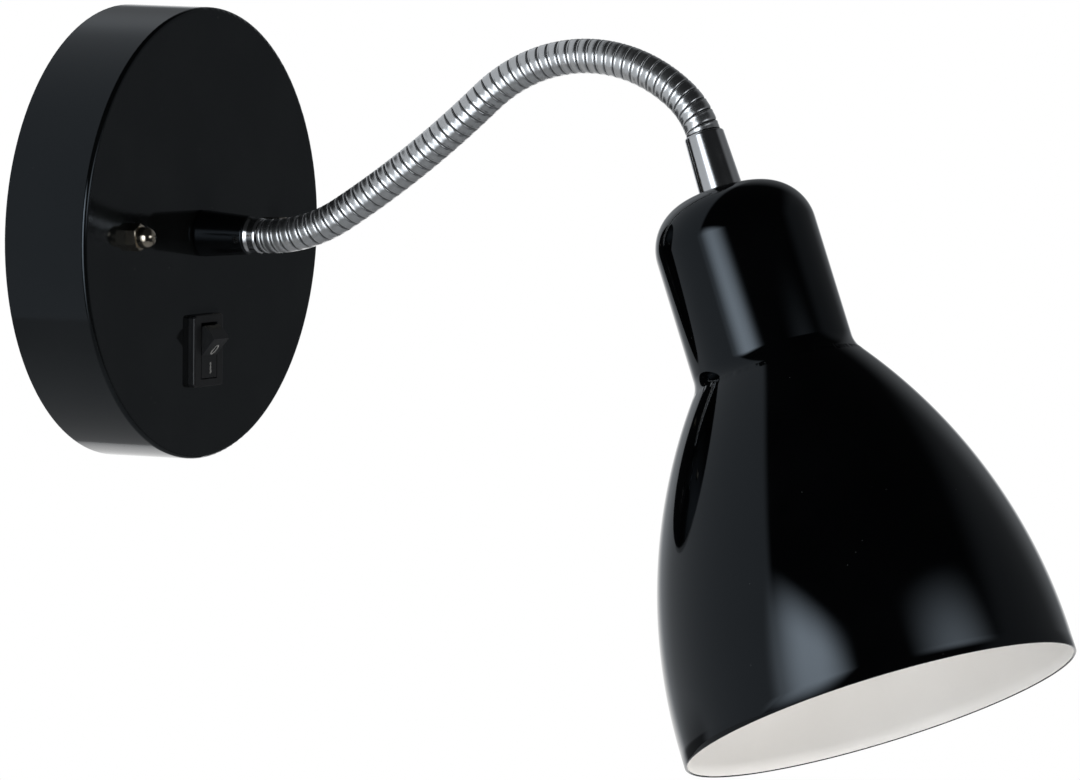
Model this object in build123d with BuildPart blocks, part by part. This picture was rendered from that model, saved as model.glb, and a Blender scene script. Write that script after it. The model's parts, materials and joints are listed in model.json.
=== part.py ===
from build123d import *

import os
from math import cos, radians, sin, sqrt, tan

# All sizes in millimetres and degrees. The wall is the plane Y = 0, the lamp reaches to -Y, and Z is up.

# Fits and sheet
SHEET = 0.8
FIT = 0.05
EASY_FIT = 0.2

# Wall plate
PLATE_RADIUS = 65.5
PLATE_DEPTH = 27.0
PLATE_EDGE = 1.3

# Wall bracket, its two long screws and their nuts
FIXING_REACH = 40.0
FIXING_TURN = 1.2
BRACKET_WIDTH = 20.0
BRACKET_SHEET = 1.5
BRACKET_RAISE = 5.0
BRACKET_END = 8.0
WALL_SLOT_SPACING = 40.0
WALL_SLOT_LENGTH = 12.0
WALL_SLOT_WIDTH = 4.5
SCREW_RADIUS = 2.0
SCREW_HEAD_RADIUS = 3.6
SCREW_HEAD_HEIGHT = 2.6
SCREW_ENTRY = 3.4
NUT_FLATS = 7.0
NUT_HEIGHT = 3.2
CAP_DOME_RADIUS = 3.1
CAP_DOME_RISE = 1.5
CAP_NUT_TURNS = (30.0, 0.0)

# Rocker switch
SWITCH_DROP = 34.0
BEZEL_LENGTH = 21.0
BEZEL_WIDTH = 16.0
BEZEL_HEIGHT = 2.2
BEZEL_CORNER = 1.2
SWITCH_BODY_LENGTH = 19.2
SWITCH_BODY_WIDTH = 12.8
SWITCH_BODY_DEPTH = 12.6
SWITCH_FLOOR = 1.4
ROCKER_LENGTH = 17.5
ROCKER_WIDTH = 8.4
ROCKER_GAP = 0.3
ROCKER_TILT = 20.0
ROCKER_PIVOT_DEPTH = 3.8
TRUNNION_RADIUS = 1.2
PLUNGER_RADIUS = 0.9
PLUNGER_REACH = 6.7
LEVER_TILT = 6.0
LEVER_LENGTH = 12.0
LEVER_WIDTH = 4.0
LEVER_SHEET = 0.6
LEVER_WELL = 14.5
BLADE_WIDTH = 4.8
BLADE_SHEET = 0.8
BLADE_TAIL = 6.5
BLADE_PITCH = 5.5

# Terminal block
POLES = 3
POLE_PITCH = 8.6
BLOCK_LENGTH = 18.0
BLOCK_HEIGHT = 13.0
BLOCK_RISE = 16.0
BARREL_RADIUS = 2.6
BARREL_BORE = 1.5
POLE_SCREW_RADIUS = 1.3

# Boss on the plate, with the threaded tube that holds it
BOSS_BASE_RADIUS = 6.85
BOSS_TIP_RADIUS = 5.55
BOSS_LENGTH = 15.9
TUBE_RADIUS = 5.0
TUBE_BORE = 3.6
TUBE_NUT_FLATS = 14.0
TUBE_NUT_HEIGHT = 4.0
WASHER_RADIUS = 9.0
WASHER_SHEET = 1.0
WASHER_TEETH = 12
TOOTH_GAP_RADIUS = 0.9
TAG_REACH = 6.0
TAG_WIDTH = 4.0
SET_SCREW_RADIUS = 1.0
SET_SCREW_FROM_TIP = 1.9
SET_SCREW_BELOW = 13.0

# Arm, wound from strip: collar, turns and the line it follows
COLLAR_RADIUS = 5.5
COLLAR_LENGTH = 4.4
SPIGOT_RADIUS = 3.9
SPIGOT_LENGTH = 6.0
ARM_RADIUS = 5.0
ARM_BORE = 3.2
GROOVE_DEPTH = 0.4
GROOVE_WIDTH = 0.35
GROOVE_SLOPE = 0.3
TURN_PITCH = 3.106
TURNS_PER_LENGTH = 6
ARM_COUNT = 9
STUB_RADIUS = 4.2
STUB_LENGTH = 2.6
BALL_RADIUS = 4.2
CUP_CLEARANCE = 0.3
LAP = 1.5
FLEX_RADIUS = 1.9
FLEX_GAP = 0.3
ARM_LEAN = 5.0
LEAD_STRAIGHT = 0.9
RISE_RADIUS = 46.8
RISE_TURN = 32.2
RUN_RADIUS = 312.0
RUN_TURN = 10.6
ARCH_RADIUS = 49.3
ARCH_TURN = 80.2
SHADE_TILT = 22.6

# Ferrule and shade, heights measured up the shade's axis from its rim
SHADE_HEIGHT = 155.5
RIM_RADIUS = 57.6
RIM_BAND = 4.0
BELL_RADIUS = 160.0
NECK_RADIUS = 23.4
NECK_TOP_ROUND = 14.3
CREASE_ROUND = 8.0
FERRULE_LENGTH = 17.9
FERRULE_TOP_RADIUS = 5.75
FERRULE_BASE_RADIUS = 6.35

# Lamp holder for a small screw cap
HOLDER_RADIUS = 13.8
HOLDER_WALL = 2.0
HOLDER_CAP_LENGTH = 19.5
HOLDER_BODY_LENGTH = 32.0
HOLDER_NECK_RADIUS = 8.5
HOLDER_THREAD_LENGTH = 6.0
SOCKET_RADIUS = 7.0
SOCKET_SHEET = 0.5
SOCKET_LENGTH = 20.0
SOCKET_INSET = 3.0
CORE_RADIUS = 10.5
CORE_HEIGHT = 6.0
CONTACT_WIDTH = 4.0
CONTACT_REACH = 9.0
CONTACT_SHEET = 0.4
HOLDER_SCREW_OFFSET = 6.5
HOLDER_SCREW_RADIUS = 1.25
HOLDER_SCREW_HEAD_RADIUS = 2.2
HOLDER_SCREW_HEAD_HEIGHT = 1.6

# Leads
LEAD_RADIUS = 0.95
LEAD_GAP = 0.1
SUPPLY_BOW = 8.0
SWITCHED_BOW = 12.0

# Places that follow from the sizes above
BOSS_TIP = PLATE_DEPTH + BOSS_LENGTH
ARM_START = BOSS_TIP + COLLAR_LENGTH
PLATE_INSIDE = PLATE_DEPTH - SHEET
TUBE_END = BOSS_TIP - SPIGOT_LENGTH - 1.0
TUBE_START = PLATE_INSIDE - WASHER_SHEET - SHEET - TUBE_NUT_HEIGHT - 3.5
FLEX_START = TUBE_START - 2.0
BRACKET_FRONT = BRACKET_RAISE + BRACKET_SHEET
BLOCK_WIDTH = POLES * POLE_PITCH
LENGTH = TURN_PITCH * TURNS_PER_LENGTH
ARM_LENGTH = LENGTH * ARM_COUNT
DROP_TURN = RISE_TURN + RUN_TURN + 90.0 - SHADE_TILT - ARCH_TURN
DROP_LENGTH = ARM_LENGTH - LEAD_STRAIGHT - sum(
    radius * radians(turn)
    for radius, turn in ((RISE_RADIUS, RISE_TURN), (RUN_RADIUS, RUN_TURN), (ARCH_RADIUS, ARCH_TURN))
)
ARM_RUNS = (
    (LEAD_STRAIGHT, 0.0),
    (RISE_RADIUS * radians(RISE_TURN), RISE_TURN),
    (RUN_RADIUS * radians(RUN_TURN), RUN_TURN),
    (ARCH_RADIUS * radians(ARCH_TURN), -ARCH_TURN),
    (DROP_LENGTH, -DROP_TURN),
)

WALL_AXIS = Axis((0, 0, 0), (0, -1, 0))
WALL_SECTION = Plane((0, 0, 0), x_dir=(1, 0, 0), z_dir=(0, 0, -1))
SIDE = Vector(cos(radians(ARM_LEAN)), 0, -sin(radians(ARM_LEAN)))
RISE = Vector(sin(radians(ARM_LEAN)), 0, cos(radians(ARM_LEAN)))
OUTWARD = Vector(0, -1, 0)


def front(depth, x=0.0, z=0.0):
    """Plane facing away from the wall, its sketch axes along X and Z."""
    return Plane((x, -depth, z), x_dir=(1, 0, 0), z_dir=(0, -1, 0))


def fixing(depth, side):
    """Plane facing away from the wall on the left (-1) or right (1) fixing; the pair sits a little turned."""
    across, down = FIXING_REACH * cos(radians(FIXING_TURN)), FIXING_REACH * sin(radians(FIXING_TURN))
    return front(depth, x=side * across, z=-side * down)


def on_path(distance):
    """Reach, rise and heading of the arm's line, a distance on from the collar's front."""
    reach, rise, heading = ARM_START, 0.0, 0.0
    for length, turn in ARM_RUNS:
        step = min(distance, length)
        bend = radians(turn) * step / length
        chord = step if bend == 0 else 2 * step / bend * sin(bend / 2)
        reach += chord * cos(heading + bend / 2)
        rise += chord * sin(heading + bend / 2)
        heading += bend
        distance -= step
    return reach + distance * cos(heading), rise + distance * sin(heading), heading


def arm_plane(distance):
    """Plane across the arm, its X always to the arm's side."""
    reach, rise, heading = on_path(distance)
    along = OUTWARD * cos(heading) + RISE * sin(heading)
    return Plane(OUTWARD * reach + RISE * rise, x_dir=SIDE, z_dir=along)


def section_of(plane):
    """Plane along an axis: its X is the given plane's X and its Y the given plane's normal."""
    return Plane(plane.origin, x_dir=plane.x_dir, z_dir=plane.x_dir.cross(plane.z_dir))


def axis_of(plane):
    return Axis(plane.origin, plane.z_dir)


def turn(section, axis, outline, rounds=(), mode=Mode.ADD):
    """Adds a turned shape; rounds lists (corner of the outline, radius)."""
    with BuildSketch(section) as profile:
        with BuildLine():
            Polyline(*outline, close=True)
        make_face()
        for corner, radius in rounds:
            fillet(profile.vertices().sort_by_distance(outline[corner])[0], radius)
    revolve(profile.sketch, axis=axis, mode=mode)


def block(plane, width, length, height, mode=Mode.ADD, corner=0.0):
    """Adds an upright block on a plane."""
    with BuildSketch(plane) as outline:
        if corner:
            RectangleRounded(width, length, corner)
        else:
            Rectangle(width, length)
    extrude(outline.sketch, amount=height, mode=mode)


def rod(plane, radius, height, mode=Mode.ADD):
    """Adds a round bar on a plane."""
    with BuildSketch(plane) as outline:
        Circle(radius)
    extrude(outline.sketch, amount=height, mode=mode)


def hexagon(plane, flats, height, turned=0.0):
    """Adds a six-sided bar on a plane."""
    with BuildSketch(plane) as outline:
        RegularPolygon(flats / 2, 6, major_radius=False, rotation=turned)
    extrude(outline.sketch, amount=height)


def arm_route(start, end):
    """Wire along the arm's line between two distances, straight before and after the turns."""
    marks, total = [start], 0.0
    for length, _ in ARM_RUNS:
        total += length
        if start < total < end:
            marks.append(total)
    if start < 0.0 < end:
        marks.insert(1, 0.0)
    marks.append(end)
    with BuildLine() as route:
        for low, high in zip(marks, marks[1:]):
            first, middle, last = (arm_plane(d).origin for d in (low, (low + high) / 2, high))
            if on_path(low)[2] == on_path(high)[2]:
                Line(first, last)
            else:
                ThreePointArc(first, middle, last)
    return route.wire()


def tube_along(route, plane, radius, mode=Mode.ADD):
    """Adds a round bar along a wire that starts square to a plane."""
    with BuildSketch(plane) as outline:
        Circle(radius)
    sweep(outline.sketch, path=route, mode=mode)


def lead(points, first, last):
    """A round wire through points, leaving and arriving along given directions."""
    with BuildPart() as wire:
        with BuildLine() as route:
            Spline(*points, tangents=(first, last))
        tube_along(route.wire(), Plane(points[0], z_dir=first), LEAD_RADIUS)
    return wire


# Wall plate: a shallow drum, open to the wall
with BuildPart() as wall_plate:
    turn(
        WALL_SECTION,
        WALL_AXIS,
        (
            (0, PLATE_INSIDE),
            (PLATE_RADIUS - SHEET, PLATE_INSIDE),
            (PLATE_RADIUS - SHEET, 0),
            (PLATE_RADIUS, 0),
            (PLATE_RADIUS, PLATE_DEPTH),
            (0, PLATE_DEPTH),
        ),
        rounds=((1, PLATE_EDGE - SHEET), (4, PLATE_EDGE)),
    )
    rod(front(PLATE_INSIDE - 1), TUBE_RADIUS + EASY_FIT, SHEET + 2, mode=Mode.SUBTRACT)
    for side in (-1, 1):
        hole = fixing(PLATE_INSIDE - 1, side)
        rod(hole, SCREW_RADIUS + EASY_FIT, SHEET + 2, mode=Mode.SUBTRACT)
    block(
        front(PLATE_INSIDE - 1, z=-SWITCH_DROP),
        SWITCH_BODY_WIDTH + EASY_FIT,
        SWITCH_BODY_LENGTH + EASY_FIT,
        SHEET + 2,
        mode=Mode.SUBTRACT,
    )

# Wall bracket: a strip with raised ends and a tab that carries the terminal block
BRACKET_BEND = FIXING_REACH - BRACKET_END - 2.0
BRACKET_TIP = FIXING_REACH + BRACKET_END
with BuildPart() as wall_bracket:
    with BuildSketch(Plane((0, 0, -BRACKET_WIDTH / 2), x_dir=(1, 0, 0), z_dir=(0, 0, 1))) as strip:
        with BuildLine():
            half = [
                (BRACKET_BEND, 0),
                (BRACKET_BEND + 4.0, -BRACKET_RAISE),
                (BRACKET_TIP, -BRACKET_RAISE),
                (BRACKET_TIP, -BRACKET_FRONT),
                (BRACKET_BEND + 3.0, -BRACKET_FRONT),
                (BRACKET_BEND - 1.0, -BRACKET_SHEET),
            ]
            Polyline(*half, *[(-x, y) for x, y in reversed(half)], close=True)
        make_face()
    extrude(strip.sketch, amount=BRACKET_WIDTH)
    tab_top = BLOCK_RISE + BLOCK_LENGTH
    block(front(0, z=tab_top / 2), BLOCK_WIDTH, tab_top, BRACKET_SHEET)
    for side in (-1, 1):
        rod(fixing(0, side), SCREW_RADIUS + FIT, BRACKET_FRONT + 1, mode=Mode.SUBTRACT)
        with BuildSketch(front(-1, x=side * WALL_SLOT_SPACING / 2)) as slot:
            SlotOverall(WALL_SLOT_LENGTH, WALL_SLOT_WIDTH)
        extrude(slot.sketch, amount=BRACKET_SHEET + 2, mode=Mode.SUBTRACT)
    rod(front(-1), TUBE_RADIUS, BRACKET_SHEET + 2, mode=Mode.SUBTRACT)
    block_hole = front(-1, x=POLE_PITCH / 2, z=BLOCK_RISE + BLOCK_LENGTH / 2)
    rod(block_hole, POLE_SCREW_RADIUS + FIT, BRACKET_SHEET + 2, mode=Mode.SUBTRACT)

SCREW_TIP = PLATE_DEPTH + SCREW_ENTRY
with BuildPart() as bracket_screws:
    for side in (-1, 1):
        head = fixing(BRACKET_RAISE - SCREW_HEAD_HEIGHT, side)
        turn(
            section_of(head),
            axis_of(head),
            (
                (0, 0),
                (SCREW_HEAD_RADIUS, 0),
                (SCREW_HEAD_RADIUS, SCREW_HEAD_HEIGHT),
                (SCREW_RADIUS, SCREW_HEAD_HEIGHT),
                (SCREW_RADIUS, SCREW_TIP - BRACKET_RAISE + SCREW_HEAD_HEIGHT),
                (0, SCREW_TIP - BRACKET_RAISE + SCREW_HEAD_HEIGHT),
            ),
            rounds=((1, 0.8),),
        )
        block(head, SCREW_HEAD_RADIUS * 1.2, 0.8, 1.0, mode=Mode.SUBTRACT)

with BuildPart() as bracket_lock_nuts:
    for side in (-1, 1):
        seat = fixing(BRACKET_FRONT, side)
        hexagon(seat, NUT_FLATS, NUT_HEIGHT)
        rod(seat, SCREW_RADIUS + FIT, NUT_HEIGHT, mode=Mode.SUBTRACT)

with BuildPart() as cap_nuts:
    dome_base = NUT_HEIGHT + CAP_DOME_RISE
    for side, nut_turn in zip((-1, 1), CAP_NUT_TURNS):
        seat = fixing(PLATE_DEPTH, side)
        hexagon(seat, NUT_FLATS, NUT_HEIGHT, turned=nut_turn)
        corner = NUT_FLATS / sqrt(3)
        turn(
            section_of(seat),
            axis_of(seat),
            (
                (NUT_FLATS / 2, NUT_HEIGHT),
                (corner + 1, NUT_HEIGHT - (corner + 1 - NUT_FLATS / 2) * tan(radians(30))),
                (corner + 1, NUT_HEIGHT),
            ),
            mode=Mode.SUBTRACT,
        )
        with BuildSketch(section_of(seat)) as dome:
            with BuildLine():
                bow = CAP_DOME_RADIUS * cos(radians(45))
                dome_foot, dome_top = (CAP_DOME_RADIUS, dome_base), (0, dome_base + CAP_DOME_RADIUS)
                ThreePointArc(dome_foot, (bow, dome_base + bow), dome_top)
                Polyline(dome_top, (0, 0), (CAP_DOME_RADIUS, 0), dome_foot)
            make_face()
        revolve(dome.sketch, axis=axis_of(seat))
        rod(seat, SCREW_RADIUS + FIT, SCREW_ENTRY + 0.6, mode=Mode.SUBTRACT)

# Rocker switch: housing, rocker on its trunnions, spring plunger, contact lever and two blades
BEZEL_FRONT = PLATE_DEPTH + BEZEL_HEIGHT
SWITCH_BACK = PLATE_DEPTH - SWITCH_BODY_DEPTH
PIVOT_DEPTH = BEZEL_FRONT - ROCKER_PIVOT_DEPTH
LEVER_PIVOT = PLUNGER_REACH + EASY_FIT + LEVER_SHEET
SWITCH_BOTTOM = SWITCH_BACK + SWITCH_FLOOR
with BuildPart() as switch_housing:
    block(front(PLATE_DEPTH, z=-SWITCH_DROP), BEZEL_WIDTH, BEZEL_LENGTH, BEZEL_HEIGHT, corner=BEZEL_CORNER)
    fillet(switch_housing.faces().sort_by(Axis.Y)[0].edges(), 0.6)
    block(front(SWITCH_BACK, z=-SWITCH_DROP), SWITCH_BODY_WIDTH, SWITCH_BODY_LENGTH, SWITCH_BODY_DEPTH)
    well_width = ROCKER_WIDTH + 2 * ROCKER_GAP
    well_depth = PIVOT_DEPTH - SWITCH_BOTTOM
    block(front(SWITCH_BOTTOM, z=-SWITCH_DROP), well_width, LEVER_WELL, well_depth, mode=Mode.SUBTRACT)
    well_side = Plane((-well_width / 2, -PIVOT_DEPTH, -SWITCH_DROP), x_dir=(0, 0, 1), z_dir=(1, 0, 0))
    rod(well_side, ROCKER_LENGTH / 2 + ROCKER_GAP, well_width, mode=Mode.SUBTRACT)
    pivot_side = Plane((-BEZEL_WIDTH, -PIVOT_DEPTH, -SWITCH_DROP), x_dir=(0, 0, 1), z_dir=(1, 0, 0))
    rod(pivot_side, TRUNNION_RADIUS + FIT, 2 * BEZEL_WIDTH, mode=Mode.SUBTRACT)
    for rise in (0.0, BLADE_PITCH):
        block(
            front(SWITCH_BACK, z=rise - SWITCH_DROP),
            BLADE_WIDTH + FIT,
            BLADE_SHEET + FIT,
            SWITCH_FLOOR,
            mode=Mode.SUBTRACT,
        )

# The rocker's own frame: X runs up its face, Y straight out of it, tipped to the on position, bottom in
ROCKER_FACE = Plane(
    (0, -PIVOT_DEPTH, -SWITCH_DROP),
    x_dir=(0, -sin(radians(ROCKER_TILT)), cos(radians(ROCKER_TILT))),
    z_dir=(1, 0, 0),
)
# Its two flats meet in a valley and end on the round ends; the pressed flat lies level with the bezel
VALLEY = ROCKER_PIVOT_DEPTH / cos(radians(ROCKER_TILT))
END_RADIUS = ROCKER_LENGTH / 2
FLAT_LENGTH = sqrt(END_RADIUS**2 - ROCKER_PIVOT_DEPTH**2) - ROCKER_PIVOT_DEPTH * tan(radians(ROCKER_TILT))
CORNER_X = FLAT_LENGTH * cos(radians(ROCKER_TILT))
CORNER_Y = VALLEY + FLAT_LENGTH * sin(radians(ROCKER_TILT))
with BuildPart() as switch_rocker:
    with BuildSketch(ROCKER_FACE) as outline:
        with BuildLine():
            low_x, low_y = END_RADIUS * cos(radians(12.0)), END_RADIUS * sin(radians(12.0))
            mid_x, mid_y = END_RADIUS * cos(radians(20.0)), END_RADIUS * sin(radians(20.0))
            Polyline((-CORNER_X, CORNER_Y), (0, VALLEY), (CORNER_X, CORNER_Y))
            ThreePointArc((CORNER_X, CORNER_Y), (mid_x, mid_y), (low_x, low_y))
            Polyline((low_x, low_y), (4.5, -1.8), (-4.5, -1.8), (-low_x, low_y))
            ThreePointArc((-low_x, low_y), (-mid_x, mid_y), (-CORNER_X, CORNER_Y))
        make_face()
    extrude(outline.sketch, amount=ROCKER_WIDTH / 2, both=True)
    hub = Plane(ROCKER_FACE.origin, x_dir=(1, 0, 0), z_dir=-ROCKER_FACE.y_dir)
    rod(hub, PLUNGER_RADIUS + 1.0, PLUNGER_REACH - 2.0)
    rod(hub, PLUNGER_RADIUS + FIT, PLUNGER_REACH, mode=Mode.SUBTRACT)
    trunnion_span = SWITCH_BODY_WIDTH - 0.6
    trunnions = Plane((-trunnion_span / 2, -PIVOT_DEPTH, -SWITCH_DROP), x_dir=(0, 0, 1), z_dir=(1, 0, 0))
    rod(trunnions, TRUNNION_RADIUS, (trunnion_span - ROCKER_WIDTH) / 2 + 1)
    rod(trunnions.offset(trunnion_span), TRUNNION_RADIUS, -(trunnion_span - ROCKER_WIDTH) / 2 - 1)

with BuildPart() as switch_plunger:
    turn(
        section_of(hub),
        axis_of(hub),
        (
            (0, 1.5),
            (PLUNGER_RADIUS, 1.5),
            (PLUNGER_RADIUS, PLUNGER_REACH),
            (0, PLUNGER_REACH),
        ),
        rounds=((2, PLUNGER_RADIUS * 0.9),),
    )

with BuildPart() as switch_lever:
    lever_plane = Plane(
        (0, -PIVOT_DEPTH + LEVER_PIVOT, -SWITCH_DROP),
        x_dir=(1, 0, 0),
        z_dir=(0, -cos(radians(LEVER_TILT)), sin(radians(LEVER_TILT))),
    )
    block(lever_plane, LEVER_WIDTH, LEVER_LENGTH, LEVER_SHEET)

LEVER_DROP = LEVER_PIVOT - (PIVOT_DEPTH - SWITCH_BACK)
with BuildPart() as switch_terminals:
    for rise, lower in ((0.0, 0.1), (BLADE_PITCH, 0.1 + BLADE_PITCH * tan(radians(LEVER_TILT)))):
        block(
            front(SWITCH_BACK - BLADE_TAIL, z=rise - SWITCH_DROP),
            BLADE_WIDTH,
            BLADE_SHEET,
            BLADE_TAIL - LEVER_DROP - lower,
        )

# Terminal block on the bracket's tab
BLOCK_BACK = BRACKET_SHEET
BARREL_DEPTH = BLOCK_BACK + BLOCK_HEIGHT * 0.45
BLOCK_FRONT = BLOCK_BACK + BLOCK_HEIGHT
BLOCK_MIDDLE = BLOCK_RISE + BLOCK_LENGTH / 2
POLE_XS = [(pole - (POLES - 1) / 2) * POLE_PITCH for pole in range(POLES)]
POLE_ZS = [BLOCK_MIDDLE + side * BLOCK_LENGTH / 4 for side in (-1, 1)]


def up_from(x, depth, z):
    """Plane facing up, its sketch X along X."""
    return Plane((x, -depth, z), x_dir=(1, 0, 0), z_dir=(0, 0, 1))


with BuildPart() as terminal_block:
    block(front(BLOCK_BACK, z=BLOCK_MIDDLE), BLOCK_WIDTH, BLOCK_LENGTH, BLOCK_HEIGHT, corner=1.0)
    for x in POLE_XS:
        rod(up_from(x, BARREL_DEPTH, BLOCK_RISE), BARREL_RADIUS + FIT, BLOCK_LENGTH, mode=Mode.SUBTRACT)
        for z in POLE_ZS:
            rod(front(BARREL_DEPTH, x=x, z=z), POLE_SCREW_RADIUS + 0.6, BLOCK_HEIGHT, mode=Mode.SUBTRACT)
    screw_hole = front(BLOCK_BACK, x=POLE_PITCH / 2, z=BLOCK_MIDDLE)
    rod(screw_hole, POLE_SCREW_RADIUS + FIT, BLOCK_HEIGHT, mode=Mode.SUBTRACT)

with BuildPart() as terminal_barrels:
    for x in POLE_XS:
        bottom = up_from(x, BARREL_DEPTH, BLOCK_RISE + 0.5)
        rod(bottom, BARREL_RADIUS, BLOCK_LENGTH - 1.0)
        rod(bottom, BARREL_BORE, BLOCK_LENGTH - 1.0, mode=Mode.SUBTRACT)
        for z in POLE_ZS:
            rod(front(BARREL_DEPTH, x=x, z=z), POLE_SCREW_RADIUS + FIT, BLOCK_HEIGHT, mode=Mode.SUBTRACT)

SCREW_FOOT = BARREL_DEPTH + LEAD_RADIUS + LEAD_GAP
with BuildPart() as terminal_screws:
    for x in POLE_XS:
        for z in POLE_ZS:
            seat = front(SCREW_FOOT, x=x, z=z)
            rod(seat, POLE_SCREW_RADIUS, BLOCK_FRONT - SCREW_FOOT - 1.0)
            block(front(BLOCK_FRONT - 1.8, x=x, z=z), 3 * POLE_SCREW_RADIUS, 0.5, 2.0, mode=Mode.SUBTRACT)

with BuildPart() as block_screw:
    head = front(0, x=POLE_PITCH / 2, z=BLOCK_MIDDLE)
    turn(
        section_of(head),
        axis_of(head),
        (
            (0, 0),
            (POLE_SCREW_RADIUS, 0),
            (POLE_SCREW_RADIUS, BLOCK_FRONT),
            (2 * POLE_SCREW_RADIUS, BLOCK_FRONT),
            (2 * POLE_SCREW_RADIUS, BLOCK_FRONT + 1.6),
            (0, BLOCK_FRONT + 1.6),
        ),
        rounds=((4, 0.6),),
    )
    slot_floor = front(BLOCK_FRONT + 0.8, x=POLE_PITCH / 2, z=BLOCK_MIDDLE)
    block(slot_floor, 5 * POLE_SCREW_RADIUS, 0.6, 2.0, mode=Mode.SUBTRACT)

# Boss, threaded tube, washer, earth tag and lock nut that hold the arm to the plate
SET_SCREW_DIR = Vector(-cos(radians(SET_SCREW_BELOW)), 0, -sin(radians(SET_SCREW_BELOW)))
SET_SCREW_PLANE = Plane((0, -(BOSS_TIP - SET_SCREW_FROM_TIP), 0), x_dir=OUTWARD, z_dir=SET_SCREW_DIR)
with BuildPart() as arm_boss:
    turn(
        WALL_SECTION,
        WALL_AXIS,
        (
            (TUBE_RADIUS + FIT, PLATE_DEPTH),
            (BOSS_BASE_RADIUS, PLATE_DEPTH),
            (BOSS_TIP_RADIUS, BOSS_TIP),
            (SPIGOT_RADIUS + FIT, BOSS_TIP),
            (SPIGOT_RADIUS + FIT, BOSS_TIP - SPIGOT_LENGTH),
            (TUBE_RADIUS + FIT, TUBE_END),
        ),
        rounds=((1, 1.0), (2, 0.5)),
    )
    rod(SET_SCREW_PLANE, SET_SCREW_RADIUS + FIT, BOSS_BASE_RADIUS + 1, mode=Mode.SUBTRACT)

with BuildPart() as boss_set_screw:
    rod(SET_SCREW_PLANE.offset(SPIGOT_RADIUS + FIT), SET_SCREW_RADIUS, BOSS_TIP_RADIUS - SPIGOT_RADIUS - 0.2)
    with BuildSketch(SET_SCREW_PLANE.offset(BOSS_TIP_RADIUS - 1.2)) as key:
        RegularPolygon(SET_SCREW_RADIUS * 0.55, 6)
    extrude(key.sketch, amount=2.0, mode=Mode.SUBTRACT)

with BuildPart() as boss_tube:
    turn(
        WALL_SECTION,
        WALL_AXIS,
        ((TUBE_BORE, TUBE_START), (TUBE_RADIUS, TUBE_START), (TUBE_RADIUS, TUBE_END), (TUBE_BORE, TUBE_END)),
    )

with BuildPart() as boss_washer:
    with BuildSketch(front(PLATE_INSIDE - WASHER_SHEET)) as washer:
        Circle(WASHER_RADIUS)
        with PolarLocations(WASHER_RADIUS, WASHER_TEETH):
            Circle(TOOTH_GAP_RADIUS, mode=Mode.SUBTRACT)
        Circle(TUBE_RADIUS + EASY_FIT, mode=Mode.SUBTRACT)
    extrude(washer.sketch, amount=WASHER_SHEET)

TAG_DEPTH = PLATE_INSIDE - WASHER_SHEET - SHEET
TAG_TIP = WASHER_RADIUS + TAG_REACH
with BuildPart() as earth_tag:
    with BuildSketch(front(TAG_DEPTH)) as tag:
        Circle(WASHER_RADIUS - 1.0)
        with Locations((TAG_TIP / 2, 0)):
            Rectangle(TAG_TIP, TAG_WIDTH)
        Circle(TUBE_RADIUS + EASY_FIT, mode=Mode.SUBTRACT)
    extrude(tag.sketch, amount=SHEET)

with BuildPart() as boss_lock_nut:
    seat = front(TAG_DEPTH - TUBE_NUT_HEIGHT)
    hexagon(seat, TUBE_NUT_FLATS, TUBE_NUT_HEIGHT)
    rod(seat, TUBE_RADIUS + FIT, TUBE_NUT_HEIGHT, mode=Mode.SUBTRACT)

# Arm: collar, then lengths of wound strip that lap one another ball in cup
with BuildPart() as arm_collar:
    turn(
        WALL_SECTION,
        WALL_AXIS,
        (
            (ARM_BORE, BOSS_TIP - SPIGOT_LENGTH),
            (SPIGOT_RADIUS, BOSS_TIP - SPIGOT_LENGTH),
            (SPIGOT_RADIUS, BOSS_TIP),
            (COLLAR_RADIUS, BOSS_TIP),
            (COLLAR_RADIUS, ARM_START),
            (STUB_RADIUS + FIT, ARM_START),
            (STUB_RADIUS + FIT, ARM_START - STUB_LENGTH),
            (ARM_BORE, ARM_START - STUB_LENGTH),
        ),
        rounds=((3, 1.0), (4, 0.8)),
    )

GROOVE_RADIUS = ARM_RADIUS - GROOVE_DEPTH


def rib_stations(start):
    """Four circles of one turn, as (distance, radius)."""
    end = start + TURN_PITCH - GROOVE_WIDTH / 2
    first = start + GROOVE_WIDTH / 2
    return [
        (first, GROOVE_RADIUS),
        (first + GROOVE_SLOPE, ARM_RADIUS),
        (end - GROOVE_SLOPE, ARM_RADIUS),
        (end, GROOVE_RADIUS),
    ]


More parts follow.
